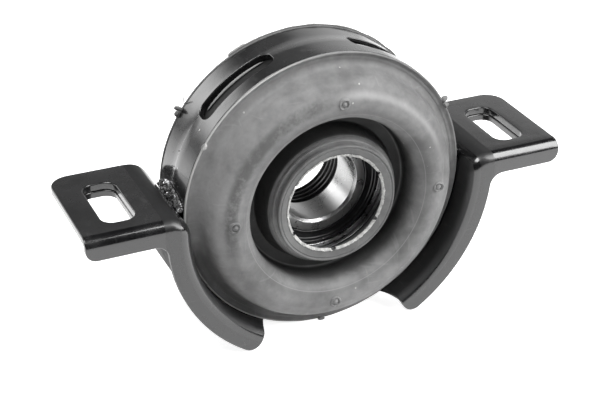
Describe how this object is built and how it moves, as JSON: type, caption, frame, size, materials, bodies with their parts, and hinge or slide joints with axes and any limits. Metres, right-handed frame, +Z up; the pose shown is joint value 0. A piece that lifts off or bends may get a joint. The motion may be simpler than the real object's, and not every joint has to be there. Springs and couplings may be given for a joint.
{
  "type": "driveshaft centre bearing",
  "caption": "Centre support bearing for a driveshaft: a sealed bearing in a rolled rubber cushion, held by a pressed ring with slotted sheet-metal ears.",
  "frame": {"origin": "middle of the footprint, on the plane the part stands on; the bearing axis is 57.5 mm above it", "axes": "+Z up, normal to the ear tops; the bearing axis runs along Y with the boot's mouth facing -Y; +X along the two ears"},
  "size_m": [0.196, 0.0516, 0.115],
  "materials": {
    "black_paint": "gloss black paint",
    "cushion_rubber": "matte moulded rubber",
    "seal_rubber": "satin moulded rubber",
    "ground_steel": "ground",
    "sleeve_steel": "dull pressed steel",
    "weld_metal": "bare weld",
    "cage_nylon": "moulded nylon"
  },
  "bodies": {
    "housing": {"outer_ring": "black_paint", "left_bracket": "black_paint", "right_bracket": "black_paint", "left_second_plate": "black_paint", "right_second_plate": "black_paint", "left_groove_weld": "weld_metal", "right_groove_weld": "weld_metal", "left_toe_weld": "weld_metal", "right_toe_weld": "weld_metal", "rubber_cushion": "cushion_rubber", "bearing_sleeve": "sleeve_steel", "outer_race": "ground_steel", "front_seal": "seal_rubber", "rear_seal": "seal_rubber", "rear_dust_seal": "seal_rubber"},
    "inner_race": {"inner_race": "ground_steel"},
    "ball_set": {"ball_cage": "cage_nylon", "ball_1": "ground_steel", "ball_2": "ground_steel", "ball_3": "ground_steel", "ball_4": "ground_steel", "ball_5": "ground_steel", "ball_6": "ground_steel", "ball_7": "ground_steel", "ball_8": "ground_steel", "ball_9": "ground_steel"}
  },
  "joints": [
    {"name": "shaft_spin", "type": "hinge", "parent": "housing", "child": "inner_race", "pos_m": [0, 0.0002, 0.0575], "axis": [0, 1, 0], "continuous": true},
    {"name": "ball_set_spin", "type": "hinge", "parent": "housing", "child": "ball_set", "pos_m": [0, 0.0002, 0.0575], "axis": [0, 1, 0], "continuous": true}
  ],
  "couplings": [
    {"joint": "ball_set_spin", "follows": "shaft_spin", "ratio": 0.3965}
  ]
}
